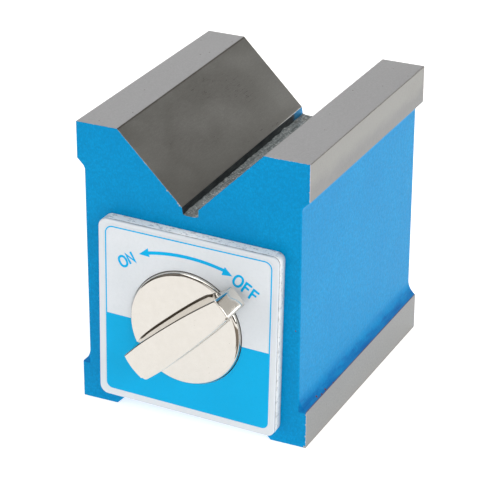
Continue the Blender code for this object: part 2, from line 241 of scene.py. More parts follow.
def bevel(obj, width, segments=3, angle=35, weight=False):
    mod = obj.modifiers.new("bevel", "BEVEL")
    mod.width = width * MM
    mod.segments = segments
    mod.use_clamp_overlap = False
    mod.limit_method = "WEIGHT" if weight else "ANGLE"
    mod.angle_limit = math.radians(angle)
    mod.miter_outer = "MITER_SHARP"
    return freeze(obj)


def tidy(obj, angle=32):
    """Smooth shading that leaves flat faces flat."""
    obj.data.shade_smooth()
    obj.data.set_sharp_from_angle(angle=math.radians(angle))
    mod = obj.modifiers.new("weighted normals", "WEIGHTED_NORMAL")
    mod.keep_sharp = True
    mod.weight = 60
    return obj


# ---------------------------------------------------------------- materials
class Mat:
    """A small builder for node materials. Positions are the row's coordinates, in millimetres."""

    def __init__(self, name):
        self.mat = bpy.data.materials.new(name)
        self.mat.use_nodes = True
        self.nodes = self.mat.node_tree.nodes
        self.links = self.mat.node_tree.links
        self.bsdf = self.nodes["Principled BSDF"]
        coords = self.nodes.new("ShaderNodeTexCoord")
        scale = self.nodes.new("ShaderNodeVectorMath")
        scale.operation = "SCALE"
        scale.inputs["Scale"].default_value = 1000.0
        self.links.new(coords.outputs["Object"], scale.inputs[0])
        self.p = scale.outputs[0]
        xyz = self.nodes.new("ShaderNodeSeparateXYZ")
        self.links.new(self.p, xyz.inputs[0])
        self.x, self.y, self.z = xyz.outputs

    def put(self, socket, value):
        if isinstance(value, bpy.types.NodeSocket):
            self.links.new(value, socket)
        elif isinstance(value, (tuple, list)) and len(value) == 3 and socket.type == "RGBA":
            socket.default_value = (*value, 1.0)
        else:
            socket.default_value = value

    def math(self, op, a, b=0.0, c=None, clamp=False):
        n = self.nodes.new("ShaderNodeMath")
        n.operation = op
        n.use_clamp = clamp
        self.put(n.inputs[0], a)
        self.put(n.inputs[1], b)
        if c is not None:
            self.put(n.inputs[2], c)
        return n.outputs[0]

    def noise(self, scale, detail=3.0, rough=0.5, stretch=(1, 1, 1), distortion=0.0, shift=(0, 0, 0)):
        """Noise whose features are about 1/scale millimetres across, drawn out along an axis by its stretch."""
        v = self.nodes.new("ShaderNodeMapping")
        self.links.new(self.p, v.inputs["Vector"])
        v.inputs["Scale"].default_value = tuple(1.0 / s for s in stretch)
        v.inputs["Location"].default_value = shift
        n = self.nodes.new("ShaderNodeTexNoise")
        self.links.new(v.outputs[0], n.inputs["Vector"])
        n.inputs["Scale"].default_value = scale
        n.inputs["Detail"].default_value = detail
        n.inputs["Roughness"].default_value = rough
        n.inputs["Distortion"].default_value = distortion
        return n.outputs["Fac"]

    def spots(self, scale, size, shift=(0, 0, 0)):
        """1 inside scattered round spots, 0 outside."""
        v = self.nodes.new("ShaderNodeMapping")
        self.links.new(self.p, v.inputs["Vector"])
        v.inputs["Location"].default_value = shift
        n = self.nodes.new("ShaderNodeTexVoronoi")
        self.links.new(v.outputs[0], n.inputs["Vector"])
        n.inputs["Scale"].default_value = scale
        return self.math("LESS_THAN", n.outputs["Distance"], size)

    def patch(self, place, size, wobble=0.45):
        """1 inside an uneven patch around a point on the block (x, depth, z), 0 outside."""
        n = self.nodes.new("ShaderNodeVectorMath")
        n.operation = "DISTANCE"
        self.links.new(self.p, n.inputs[0])
        n.inputs[1].default_value = (place[0], place[1] + FRONT_Y, place[2])
        edge = self.remap(self.noise(2.2 / size, 2, 0.55, shift=place), 0.3, 0.7, size * (1 - wobble), size * (1 + wobble))
        return self.remap(self.math("SUBTRACT", edge, n.outputs["Value"]), -0.03, 0.04, 0, 1)

    def remap(self, value, a, b, c, d, smooth=False):
        n = self.nodes.new("ShaderNodeMapRange")
        n.interpolation_type = "SMOOTHSTEP" if smooth else "LINEAR"
        self.put(n.inputs["Value"], value)
        for key, v in zip(("From Min", "From Max", "To Min", "To Max"), (a, b, c, d)):
            self.put(n.inputs[key], v)
        return n.outputs["Result"]

    def mix(self, fac, a, b):
        n = self.nodes.new("ShaderNodeMix")
        n.data_type = "RGBA"
        self.put(n.inputs["Factor"], fac)
        self.put(n.inputs[6], a)
        self.put(n.inputs[7], b)
        return n.outputs[2]

    def blend(self, fac, a, b):
        n = self.nodes.new("ShaderNodeMix")
        n.data_type = "FLOAT"
        self.put(n.inputs["Factor"], fac)
        self.put(n.inputs[2], a)
        self.put(n.inputs[3], b)
        return n.outputs[0]

    def bump(self, height, distance, strength=1.0, over=None):
        n = self.nodes.new("ShaderNodeBump")
        n.inputs["Strength"].default_value = strength
        n.inputs["Distance"].default_value = distance * MM
        self.links.new(height, n.inputs["Height"])
        if over is not None:
            self.links.new(over, n.inputs["Normal"])
        return n.outputs["Normal"]

    def set(self, **values):
        names = {
            "color": "Base Color",
            "rough": "Roughness",
            "metal": "Metallic",
            "normal": "Normal",
            "coat": "Coat Weight",
            "coat_rough": "Coat Roughness",
            "aniso": "Anisotropic",
            "ior": "IOR",
            "specular": "Specular IOR Level",
        }
        for key, value in values.items():
            self.put(self.bsdf.inputs[names[key]], value)
        return self.mat


STEEL = (0.452, 0.457, 0.470)
PAINT_A, PAINT_B = (0.0, 0.274, 0.595), (0.0, 0.309, 0.640)
# small bare chips in the paint and rust specks, each (x, depth, z) and a size in millimetres
CHIPS = [
    ((-6.1, 0.0, 59.8), 0.20),
    ((-3.3, 0.0, 57.1), 0.24),
    ((-2.9, 0.0, 56.6), 0.2),
    ((29.9, 0.0, 66.2), 0.10),
    ((29.95, 0.0, 9.0), 0.18),
    ((29.95, 0.0, 6.4), 0.18),
    ((29.95, 0.0, 3.2), 0.20),
    ((29.7, 0.0, 0.3), 0.34),
]
RUST = [
    ((29.4, 7.4, 10.15), 0.30),
    ((29.8, 9.6, 9.85), 0.22),
    ((29.7, 12.0, 9.95), 0.28),
    ((29.95, 16.2, 9.65), 0.24),
    ((27.0, 0.0, 30.6), 0.16),
]


def ground_steel(name, tone=STEEL, rough=0.36, along=(1, 26, 1), specks=0.055, clouds=0.30, rim=0.0, pit=(0.10, 0.07, 0.05)):
    """Surface-ground steel: fine scratches along one way, faint cloudiness and a few tiny pits."""
    m = Mat(name)
    lines = m.noise(7.0, 4, 0.65, along)
    fine = m.noise(9.0, 2, 0.6)
    cloud = m.noise(0.11, 3, 0.5, (1, 1.8, 1))
    dark = tuple(c * 0.80 for c in tone)
    light = tuple(min(1, c * 1.10) for c in tone)
    colour = m.mix(m.remap(lines, 0.3, 0.72, 0, 1), dark, light)
    colour = m.mix(m.remap(fine, 0.35, 0.7, 0.0, 0.42), colour, tuple(c * 0.66 for c in tone))
    colour = m.mix(m.remap(cloud, 0.35, 0.68, 0.0, clouds), colour, tuple(min(1, c * 1.22) for c in tone))
    pits = m.spots(0.33, specks)
    sand = m.noise(2.3, 3, 0.6, shift=(3, 1, 8))
    colour = m.mix(m.remap(sand, 0.40, 0.60, 0.0, 0.55), colour, tuple(c * 0.80 for c in tone))
    colour = m.mix(pits, colour, pit)
    # the bands of the upper lips are darker in their lower part and lighter above, along an uneven line
    if name.endswith("band"):
        sway = m.math("ADD", m.z, m.remap(m.noise(0.22, 3, 0.55, (1, 1.4, 1)), 0.3, 0.7, -0.7, 0.7))
        low = m.math("MULTIPLY", m.remap(sway, BLOCK_H - 7.4, BLOCK_H - 3.8, 1, 0, True), m.math("GREATER_THAN", m.z, 50.0))
        colour = m.mix(m.math("MULTIPLY", low, 0.60), colour, (0.245, 0.245, 0.243))
        high = m.math("MULTIPLY", m.math("SUBTRACT", 1.0, low), m.math("GREATER_THAN", m.z, 50.0))
        colour = m.mix(m.math("MULTIPLY", high, 0.45), colour, (0.345, 0.34, 0.315))
    if rim:  # a thin dark line where this face meets the top
        line = m.math("MULTIPLY", m.remap(m.z, BLOCK_H - 0.36, BLOCK_H - 0.16, 0, rim), m.remap(sand, 0.3, 0.6, 0.6, 1.0))
        colour = m.mix(line, colour, (0.12, 0.105, 0.09))
    if name.endswith("band"):  # the band is lighter along its front corner
        lead = m.remap(m.y, FRONT_Y + 0.14, FRONT_Y + 0.42, 0.7, 0, True)
        colour = m.mix(lead, colour, (0.50, 0.47, 0.43))
    foot = m.math("MULTIPLY", m.remap(m.z, 0.12, 0.34, 1, 0), m.remap(m.noise(0.6, 3, 0.6), 0.35, 0.6, 0.35, 0.9))
    colour = m.mix(foot, colour, (0.20, 0.15, 0.11))
    r = m.remap(lines, 0.3, 0.75, rough - 0.07, rough + 0.09)
    r = m.math("ADD", r, m.remap(cloud, 0.35, 0.68, -0.03, 0.05))
    height = m.math("ADD", m.math("MULTIPLY", lines, 0.6), m.math("MULTIPLY", fine, 0.5))
    return m.set(color=colour, rough=r, metal=1.0, normal=m.bump(height, 0.006, 0.8))


def paint():
    """Glossy enamel over a cast surface. Along its ground borders it ends in an uneven line with small chips, and a few
    rust specks sit above the right foot."""
    m = Mat("blue_enamel")
    ax = m.math("ABSOLUTE", m.x)
    left = m.math("LESS_THAN", m.x, 0.0)
    along = m.remap(m.y, FRONT_Y, FRONT_Y + BLOCK_D, 0, 1)
    # distance, in mm, to the nearest ground surface
    edge = [m.math("ADD", V_LINES[k][0][0], m.math("MULTIPLY", along, V_LINES[k][1][0] - V_LINES[k][0][0])) for k in (1, -1)]
    v_top = m.blend(left, edge[0], edge[1])
    d_v = m.math("MULTIPLY", m.math("SUBTRACT", m.math("ADD", ax, m.math("SUBTRACT", BLOCK_H, v_top)), m.z), 0.7071)
    d_v = m.math("ADD", d_v, m.math("MULTIPLY", m.math("LESS_THAN", ax, 1.7), 5.0))  # the V ends at the slot
    d_top = m.math("SUBTRACT", BLOCK_H, m.z)
    d_side = m.math("SUBTRACT", BLOCK_HALF, ax)
    band = m.math("MAXIMUM", m.math("GREATER_THAN", m.z, BLOCK_H - 9.5), m.math("LESS_THAN", m.z, 9.6))
    d_band = m.math("ADD", d_side, m.math("MULTIPLY", m.math("SUBTRACT", 1.0, band), 5.0))
    d = m.math("MINIMUM", m.math("MINIMUM", d_v, d_top), m.math("MINIMUM", d_band, m.math("ADD", m.z, 0.0)))
    wander = m.noise(0.9, 4, 0.6)
    nick = m.noise(0.55, 2, 0.5, shift=(7, 3, 5))
    reach = m.math("ADD", m.remap(wander, 0.45, 0.75, 0.02, 0.16), m.remap(nick, 0.62, 0.76, 0.0, 0.14))
    bare = m.remap(m.math("SUBTRACT", reach, d), -0.03, 0.05, 0, 1)
    for place, size in CHIPS:
        bare = m.math("MAXIMUM", bare, m.patch(place, size))

    broad = m.noise(0.09, 3, 0.5)
    peel = m.noise(0.85, 3, 0.55)
    grain = m.noise(2.6, 3, 0.6, (1, 1, 1.6))
    mottle = m.noise(1.3, 4, 0.62, shift=(2, 9, 4))
    colour = m.mix(m.remap(broad, 0.35, 0.68, 0, 1), PAINT_A, PAINT_B)
    colour = m.mix(m.remap(grain, 0.42, 0.66, 0.0, 0.75), colour, tuple(c * 0.78 for c in PAINT_A))
    colour = m.mix(m.remap(mottle, 0.40, 0.64, 0.0, 0.75), colour, tuple(c * 0.82 for c in PAINT_A))
    edge_metal = m.mix(m.remap(wander, 0.4, 0.7, 0, 1), (0.42, 0.40, 0.38), (0.66, 0.65, 0.63))
    fleck = m.math("MULTIPLY", m.remap(m.noise(1.7, 3, 0.6, (1, 1.5, 0.8), shift=(5, 1, 3)), 0.56, 0.68, 0, 0.6), m.math("GREATER_THAN", ax, BLOCK_HALF - 2.6))
    colour = m.mix(fleck, colour, (0.0, 0.19, 0.42))
    colour = m.mix(bare, colour, edge_metal)
    # painted shade: the paint is coloured darker in the hollows above the feet, streaked along the block
    streak = m.noise(1.1, 3, 0.6, (1, 14, 1))
    drift = m.math("ADD", m.z, m.remap(m.noise(0.5, 3, 0.6, (1, 3, 1)), 0.3, 0.7, -1.2, 1.2))
    hollow = m.math("MULTIPLY", m.remap(drift, 10.2, 15.0, 1, 0, True), m.remap(m.z, 9.2, 9.5, 0, 1))
    hollow = m.math("MULTIPLY", hollow, m.math("GREATER_THAN", ax, BLOCK_HALF - 1.98))
    hollow = m.math("MULTIPLY", hollow, m.remap(streak, 0.3, 0.7, 0.6, 1.0))
    colour = m.mix(hollow, colour, (0.0, 0.205, 0.50))
    # painted shade, darker still just above the feet
    painted_shade_deep = m.math("MULTIPLY", m.math("MULTIPLY", hollow, m.remap(drift, 9.8, 12.2, 1, 0, True)), m.remap(streak, 0.3, 0.7, 0.5, 1.0))
    colour = m.mix(painted_shade_deep, colour, (0.0, 0.10, 0.34))
    # a thin rusty line where the paint ends above the right foot, and a few specks
    line = m.math("MULTIPLY", m.remap(d_side, 0.05, 0.22, 1, 0), m.math("GREATER_THAN", m.x, 0.0))
    line = m.math("MULTIPLY", line, m.math("MULTIPLY", m.math("GREATER_THAN", m.z, 9.2), m.math("LESS_THAN", m.z, 10.3)))
    rust = m.math("MULTIPLY", line, m.remap(wander, 0.35, 0.6, 0.45, 0.85))
    for place, size in RUST:
        rust = m.math("MAXIMUM", rust, m.patch(place, size))
    colour = m.mix(rust, colour, (0.13, 0.038, 0.018))
    rough = m.remap(peel, 0.3, 0.7, 0.27, 0.37)
    rough = m.math("ADD", rough, m.math("MULTIPLY", grain, 0.08))
    rough = m.blend(m.math("MAXIMUM", rust, 0.0), rough, 0.85)
    height = m.math("ADD", m.math("MULTIPLY", peel, 1.0), m.math("MULTIPLY", grain, 0.45))
    height = m.math("SUBTRACT", height, m.math("MULTIPLY", bare, 0.8))
    metal = m.math("MULTIPLY", bare, 0.9)
    return m.set(color=colour, rough=rough, metal=metal, normal=m.bump(height, 0.06, 0.75), ior=1.155)


def slot_wall_painted_shade():
    # dark raw steel coloured darker still as painted shade inside the narrow slot; blue paint shows at the far end of
    # the left wall
    m = Mat("slot_wall_steel")
    a = m.noise(1.2, 4, 0.6, (1, 5, 1))
    b = m.noise(4.0, 3, 0.6)
    colour = m.mix(m.remap(a, 0.35, 0.7, 0, 1), (0.030, 0.038, 0.045), (0.105, 0.118, 0.125))
    far = m.math("ADD", m.math("SUBTRACT", m.y, FRONT_Y + 64.6), m.math("MULTIPLY", m.math("SUBTRACT", b, 0.5), 6.0))
    far = m.math("MULTIPLY", m.remap(far, -0.4, 0.6, 0, 1), m.math("LESS_THAN", m.x, 0.0))
    colour = m.mix(far, colour, PAINT_A)
    return m.set(
        color=colour,
        rough=m.remap(b, 0.3, 0.7, 0.45, 0.65),
        metal=0.6,
        normal=m.bump(m.math("ADD", a, b), 0.08, 0.8),
    )


def bored_steel(name="bored_steel", tone=(0.45, 0.45, 0.45)):
    m = Mat(name)
    a = m.noise(2.5, 3, 0.6, (6, 1, 6))
    colour = m.mix(m.remap(a, 0.3, 0.7, 0, 1), tuple(c * 0.75 for c in tone), tone)
    return m.set(color=colour, rough=m.remap(a, 0.3, 0.7, 0.28, 0.42), metal=1.0, normal=m.bump(a, 0.01, 0.6))


def rough_spacer():
    """The slot floor: grey brazing metal scraped along the slot, pale on its ridges and dark in its pits."""
    m = Mat("rough_spacer_metal")
    a = m.noise(1.5, 5, 0.65, (1, 9, 1))
    b = m.noise(3.5, 3, 0.6, (1, 3, 1))
    c = m.noise(0.35, 2, 0.5, (1, 2, 1))
    colour = m.mix(m.remap(a, 0.34, 0.66, 0, 1), (0.105, 0.125, 0.130), (0.33, 0.365, 0.37))
    colour = m.mix(m.remap(b, 0.52, 0.74, 0, 0.6), colour, (0.07, 0.078, 0.08))
    colour = m.mix(m.remap(c, 0.58, 0.74, 0, 0.35), colour, (0.30, 0.28, 0.24))
    ridge = m.noise(2.2, 3, 0.6, (1.5, 1, 1), shift=(1, 6, 2))
    colour = m.mix(m.remap(ridge, 0.54, 0.64, 0, 0.75), colour, (0.62, 0.66, 0.66))
    return m.set(
        color=colour,
        rough=m.remap(b, 0.3, 0.7, 0.40, 0.62),
        metal=0.55,
        normal=m.bump(m.math("ADD", a, m.math("MULTIPLY", b, 0.5)), 0.2, 0.8),
    )


def cast_plate():
    """The plate's sandblasted cast metal, light grey, coarser and speckled round its edges."""
    m = Mat("cast_plate")
    grain = m.noise(3.2, 4, 0.65)
    pits = m.noise(1.2, 4, 0.72, (1.6, 1, 1.6), shift=(2, 5, 1))
    broad = m.noise(0.22, 3, 0.6, (1, 4, 1))
    back = m.remap(m.y, FRONT_Y - 3.5, FRONT_Y - 3.2, 0, 1)  # the side walls, behind the face
    painted_shade_deep = m.remap(m.y, FRONT_Y - 2.6, FRONT_Y - 0.3, 0, 1)
    colour = m.mix(m.remap(grain, 0.35, 0.7, 0, 1), (0.70, 0.70, 0.70), (0.82, 0.82, 0.82))
    colour = m.mix(m.math("MULTIPLY", m.remap(grain, 0.30, 0.52, 0.55, 1.0), back), colour, (1.0, 0.965, 0.91))
    colour = m.mix(m.math("MULTIPLY", m.remap(broad, 0.45, 0.65, 0, 0.12), back), colour, (0.62, 0.61, 0.59))
    hollow = m.math("MULTIPLY", m.remap(pits, 0.545, 0.635, 0, 1), m.blend(back, 0.10, 0.72))
    colour = m.mix(hollow, colour, (0.34, 0.34, 0.35))
    # painted shade with a painted blue reflection of the block: the walls right of x 22.6 darken towards the block face
    right = m.math("GREATER_THAN", m.x, 22.6)
    shade = m.math("MULTIPLY", m.math("MULTIPLY", painted_shade_deep, right), 0.75)
    colour = m.mix(shade, colour, (0.22, 0.30, 0.38))
    # a brownish line where the rounded front edge meets the walls
    rim = m.math("SUBTRACT", 1.0, m.math("MULTIPLY", m.math("ABSOLUTE", m.math("SUBTRACT", m.y, FRONT_Y - 3.16)), 3.6), clamp=True)
    rim = m.math("MULTIPLY", rim, m.remap(m.noise(0.7, 3, 0.6, shift=(4, 4, 4)), 0.3, 0.6, 0.5, 1.0))
    face = m.remap(m.y, FRONT_Y - 3.45, FRONT_Y - 3.28, 1, 0)
    colour = m.mix(m.math("MULTIPLY", face, m.remap(grain, 0.3, 0.7, 0.7, 1.0)), colour, (0.665, 0.71, 0.755))
    colour = m.mix(rim, colour, (0.13, 0.105, 0.08))
    height = m.math("SUBTRACT", m.math("MULTIPLY", grain, 0.5), m.math("MULTIPLY", hollow, 0.8))
    return m.set(
        color=colour,
        rough=m.remap(grain, 0.3, 0.7, 0.50, 0.66),
        metal=0.12,
        normal=m.bump(height, 0.09, 0.8),
    )


def label_sheet(name, a, b, rough=0.34):
    """Printed film with a faint orange-peel surface."""
    m = Mat(name)
    broad = m.noise(0.10, 3, 0.5, shift=(4, 0, 2))
    fine = m.noise(5.0, 2, 0.5)
    speck = m.noise(1.6, 4, 0.6)
    colour = m.mix(m.remap(broad, 0.35, 0.66, 0, 1), a, b)
    colour = m.mix(m.remap(speck, 0.45, 0.72, 0.0, 0.35), colour, tuple(c * 0.93 for c in a))
    return m.set(
        color=colour,
        rough=m.remap(fine, 0.3, 0.7, rough - 0.03, rough + 0.05),
        normal=m.bump(m.math("ADD", m.math("MULTIPLY", broad, 3.0), m.math("MULTIPLY", fine, 0.2)), 0.03, 0.6),
        ior=1.2,
    )


def chrome():
    """Polished nickel chrome: nearly a mirror, with faint ripples, a little haze and a few pin pits."""
    m = Mat("polished_chrome")
    ripple = m.noise(0.16, 2, 0.45)
    haze = m.noise(0.5, 4, 0.6)
    pits = m.spots(0.55, 0.035, (2, 2, 2))
    colour = m.mix(m.remap(haze, 0.35, 0.7, 0, 1), (0.648, 0.617, 0.568), (0.672, 0.642, 0.595))
    colour = m.mix(m.math("MULTIPLY", pits, 0.75), colour, (0.30, 0.24, 0.17))
    height = m.math("ADD", m.math("MULTIPLY", ripple, 1.0), m.math("MULTIPLY", haze, 0.04))
    return m.set(color=colour, rough=m.remap(haze, 0.3, 0.7, 0.06, 0.115), metal=1.0, normal=m.bump(height, 0.05, 0.6))


def turned_metal(name, tone, rough=0.3, metal=1.0, centre=None, rings=5.0):
    """Lathe-turned metal: fine concentric tool marks about the front-to-back axis."""
    m = Mat(name)
    cx, cz = centre or (AXIS_X, AXIS_Z)
    dx, dz = m.math("SUBTRACT", m.x, cx), m.math("SUBTRACT", m.z, cz)
    r = m.math("SQRT", m.math("ADD", m.math("MULTIPLY", dx, dx), m.math("MULTIPLY", dz, dz)))
    wave = m.math("SINE", m.math("ADD", m.math("MULTIPLY", r, rings * 6.283), m.math("MULTIPLY", m.noise(0.8, 2), 5.0)))
    cloud = m.noise(0.3, 3, 0.55)
    colour = m.mix(m.remap(cloud, 0.3, 0.7, 0, 1), tuple(c * 0.82 for c in tone), tone)
    return m.set(
        color=colour,
        rough=m.remap(cloud, 0.3, 0.7, rough - 0.05, rough + 0.08),
        metal=metal,
        normal=m.bump(wave, 0.004, 0.7),
    )


def grained(name, a, b, rough, metal=0.0, scale=2.0, depth=0.02):
    m = Mat(name)
    n = m.noise(scale, 4, 0.6)
    return m.set(
        color=m.mix(m.remap(n, 0.3, 0.7, 0, 1), a, b),
        rough=m.remap(n, 0.3, 0.7, max(0.02, rough - 0.06), min(1, rough + 0.08)),
        metal=metal,
        normal=m.bump(n, depth, 0.7),
    )


M_PAINT = paint()
M_GROUND = ground_steel("ground_steel")
M_BAND = ground_steel("ground_steel_band", (0.315, 0.315, 0.308), 0.40, (1, 3, 14), 0.03, 0.46, 0.95)
M_V = ground_steel("ground_steel_v", (0.425, 0.43, 0.412), 0.36, (1, 18, 1), 0.03, 0.12, 0.75, (0.62, 0.60, 0.54))
M_SLOT = slot_wall_painted_shade()
M_BORED = bored_steel()
M_SPACER = rough_spacer()
M_PLATE = cast_plate()
M_LABEL = label_sheet("label_grey", (0.665, 0.705, 0.74), (0.70, 0.735, 0.77))
M_PRINT = label_sheet("label_blue", (0.0, 0.385, 0.715), (0.0, 0.405, 0.745), 0.30)
M_INK = label_sheet("label_ink", (0.0, 0.40, 0.76), (0.0, 0.43, 0.80), 0.30)
M_CHROME = chrome()
M_COVER = turned_metal("turned_cover_steel", (0.52, 0.52, 0.53))
M_BRONZE = turned_metal("bearing_bronze", (0.60, 0.40, 0.16), 0.32)
M_SCREW = grained("screw_steel", (0.16, 0.16, 0.165), (0.30, 0.30, 0.31), 0.34, 1.0, 3.0)
M_SPRING = grained("spring_steel", (0.30, 0.30, 0.32), (0.42, 0.42, 0.43), 0.26, 1.0, 1.5)
M_NYLON = grained("nylon", (0.66, 0.62, 0.52), (0.74, 0.71, 0.62), 0.45, 0.0, 1.2)
M_RUBBER = grained("black_rubber", (0.012, 0.012, 0.012), (0.026, 0.026, 0.026), 0.62, 0.0, 3.0)
M_FERRITE = grained("sintered_ferrite", (0.028, 0.028, 0.031), (0.055, 0.055, 0.06), 0.55, 0.0, 2.2, 0.05)
M_ROTOR = ground_steel("rotor_steel", (0.42, 0.42, 0.43), 0.34, (9, 1, 9))


# ---------------------------------------------------------------- the block
LIP, FOOT, RELIEF = 9.5, 9.6, 1.9
FOOT_IN, CHANNEL, FLOOR_Z = 20.6, 2.5, 54.3
BORE_R, REAR_R, POCKET_R = 17.0, 22.0, 20.0
PAINT, GROUND, SLOT, BORED, V_FACE, BAND = range(6)

plate_screws = [(0.45 + sx * 17.8, 27.3 + sz * 17.8) for sx in (1, -1) for sz in (1, -1)]
cover_screws = [
    (AXIS_X + 19.3 * math.cos(math.radians(a)), AXIS_Z + 19.3 * math.sin(math.radians(a))) for a in (45, 135, 225, 315)
]
BORE = [(0, -1), (POCKET_R, -1), (POCKET_R, 3.2), (BORE_R, 3.2), (BORE_R, 67.5), (REAR_R, 67.5), (REAR_R, 71), (0, 71)]


def half_outline(top, mouth, foot):
    """The front view of one pole, from the foot of its slot wall round to the channel below."""
    return [
        (foot, FLOOR_Z),
        (mouth, BLOCK_H - top + mouth),
        (top, BLOCK_H),
        (BLOCK_HALF, BLOCK_H),
        (BLOCK_HALF, BLOCK_H - LIP),
        (BLOCK_HALF - RELIEF, BLOCK_H - LIP - RELIEF),
        (BLOCK_HALF - RELIEF, FOOT + RELIEF),
        (BLOCK_HALF, FOOT),
        (BLOCK_HALF, 0.0),
        (FOOT_IN, 0.0),
        (FOOT_IN - CHANNEL, CHANNEL),
        (foot, CHANNEL),
    ]


# the finish of the side that starts at each point above
HALF_TAGS = [SLOT, V_FACE, GROUND, BAND, PAINT, PAINT, PAINT, BAND, GROUND, PAINT, PAINT, BORED]
HALF_FILLETS = {5: 1.8, 6: 4.2, 10: 0.8}
ARC_STEPS = 8


def spread_tags(tags, fillets, steps):
    out = []
    for i, tag in enumerate(tags):
        out += [tags[i]] * (steps + 1 if i in fillets else 1)
    return out


def skew_prism(name, near_line, far_line, tags, front=0.0, back=None):
    """A solid between two outlines of equal point count. Side i starts at point i and takes tags[i]; the ends are
    painted."""
    back = BLOCK_D if back is None else back
    bm = bmesh.new()
    near = [bm.verts.new(world(x, front, z)) for x, z in near_line]
    far = [bm.verts.new(world(x, back, z)) for x, z in far_line]
    bm.faces.new(near).material_index = PAINT
    bm.faces.new(list(reversed(far))).material_index = PAINT
    for i in range(len(near)):
        j = (i + 1) % len(near)
        bm.faces.new((near[i], far[i], far[j], near[j])).material_index = tags[i]
    bmesh.ops.recalc_face_normals(bm, faces=bm.faces)
    return bm


def cut_bored(obj, profile, steps, centre=None):
    cutter = lathe("cut", profile, steps, centre)
    cutter.data.materials.append(M_BORED)
    boolean(obj, cutter)


def pole_block(name, side):
    lines = []
    for top, mouth, foot in V_LINES[side]:
        line = filleted(half_outline(top, mouth, foot), HALF_FILLETS, ARC_STEPS)
        lines.append([(x * side, z) for x, z in line])
    bm = skew_prism(name, lines[0], lines[1], spread_tags(HALF_TAGS, HALF_FILLETS, ARC_STEPS))
    weights = bm.edges.layers.float.new("bevel_weight_edge")
    for e in bm.edges:
        tags = [f.material_index for f in e.link_faces]
        if BORED in tags:
            continue  # where the two halves meet on the spacers
        lengthwise = abs(e.verts[0].co.y - e.verts[1].co.y) > 1 * MM
        if lengthwise:
            if math.degrees(e.calc_face_angle(0)) > 25:
                e[weights] = 0.3
        else:
            ground = any(t in (GROUND, V_FACE, BAND) for t in tags)
            e[weights] = 0.28 if ground else (0.0 if SLOT in tags else 1.0)
    obj = obj_from(name, bm)
    for m in (M_PAINT, M_GROUND, M_SLOT, M_BORED, M_V, M_BAND):
        obj.data.materials.append(m)
    bevel(obj, 0.42, 3, weight=True)
    cut_bored(obj, BORE, 96)
    for sx, sz in plate_screws:
        if sx * side > 0:
            cut_bored(obj, [(0, -1), (1.7, -1), (1.7, 8.5), (0, 8.5)], 24, (sx, sz))
    for sx, sz in cover_screws:
        if sx * side > 0:
            cut_bored(obj, [(0, 59), (1.3, 59), (1.3, 71), (0, 71)], 24, (sx, sz))
    tidy(obj, 30)
    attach(obj, "block")
    return obj


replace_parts(pole_block("left_pole_block_finished", -1), "left_pole_block")
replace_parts(pole_block("right_pole_block_finished", 1), "right_pole_block")


# ---------------------------------------------------------------- spacers
FEET = [(-V_LINES[-1][end][2] + 0.0008, V_LINES[1][end][2] - 0.0008) for end in (0, 1)]  # between the poles, front and back


def slab_with_top(name, bottom, top, rough, nx=12, ny=150):
    """A slab along the block whose top is a rough, uneven surface."""
    bm = bmesh.new()
    grid = []
    for j in range(ny + 1):
        y = BLOCK_D * j / ny
        x0, x1 = (FEET[0][k] + (FEET[1][k] - FEET[0][k]) * j / ny for k in (0, 1))
        row = []
        for i in range(nx + 1):
            x = x0 + (x1 - x0) * i / nx
            edge = min(1.0, min(y, BLOCK_D - y) / 0.8)
            h = noise.fractal(Vector((x * 0.9, y * 0.45, 3.1)), 0.8, 2.1, 4) * rough * edge
            side = abs(2 * i / nx - 1) ** 4
            row.append(bm.verts.new(world(x, y, top + h + 0.9 * side * rough)))
        grid.append(row)
    low = [[bm.verts.new(world(x, y, bottom)) for x in FEET[end]] for end, y in ((0, 0), (1, BLOCK_D))]
    for j in range(ny):
        for i in range(nx):
            bm.faces.new((grid[j][i], grid[j][i + 1], grid[j + 1][i + 1], grid[j + 1][i]))
    bm.faces.new([grid[j][0] for j in range(ny + 1)] + [low[1][0], low[0][0]])
    bm.faces.new([grid[j][nx] for j in range(ny, -1, -1)] + [low[0][1], low[1][1]])
    bm.faces.new([grid[0][i] for i in range(nx, -1, -1)] + [low[0][0], low[0][1]])
    bm.faces.new([grid[ny][i] for i in range(nx + 1)] + [low[1][1], low[1][0]])
    bm.faces.new((low[0][0], low[1][0], low[1][1], low[0][1]))
    return obj_from(name, bm)


def spacer_finish(obj, floor_z):
    obj.data.materials.append(M_PAINT)
    obj.data.materials.append(M_SPACER)
    obj.data.materials.append(M_BORED)
    for f in obj.data.polygons:
        y, z = f.center.y / MM - FRONT_Y, f.center.z / MM
        if abs(f.normal.y) > 0.9 and (y < 0.02 or y > BLOCK_D - 0.02):
            f.material_index = 0
        elif floor_z is not None and z > floor_z:
            f.material_index = 1
        else:
            f.material_index = 2
    tidy(obj, 40)
    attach(obj, "block")


upper = slab_with_top("upper_spacer_finished", AXIS_Z + 10, FLOOR_Z, 0.34)
boolean(upper, lathe("bore", BORE, 96))
spacer_finish(upper, FLOOR_Z - 1.5)
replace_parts(upper, "upper_spacer")

slab_lines = [[(x0, CHANNEL), (x1, CHANNEL), (x1, AXIS_Z - 10), (x0, AXIS_Z - 10)] for x0, x1 in FEET]
lower = obj_from("lower_spacer_finished", skew_prism("lower", slab_lines[0], slab_lines[1], [0, 0, 0, 0]))
boolean(lower, lathe("bore", BORE, 96))
spacer_finish(lower, None)
for f in lower.data.polygons:
    if f.center.z / MM < CHANNEL + 0.1:
        f.material_index = 0
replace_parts(lower, "lower_spacer")


# ---------------------------------------------------------------- front plate
# Corners of the cast plate and of the print on its sheet, from the top left clockwise: neither is quite square.
PLATE_QUAD = [(-22.59, 51.37), (24.28, 50.10), (23.37, 3.12), (-23.30, 4.44)]
PRINT_QUAD = [(-20.76, 49.86), (22.75, 48.90), (21.85, 5.07), (-21.35, 6.37)]
HOLE_R = 14.66


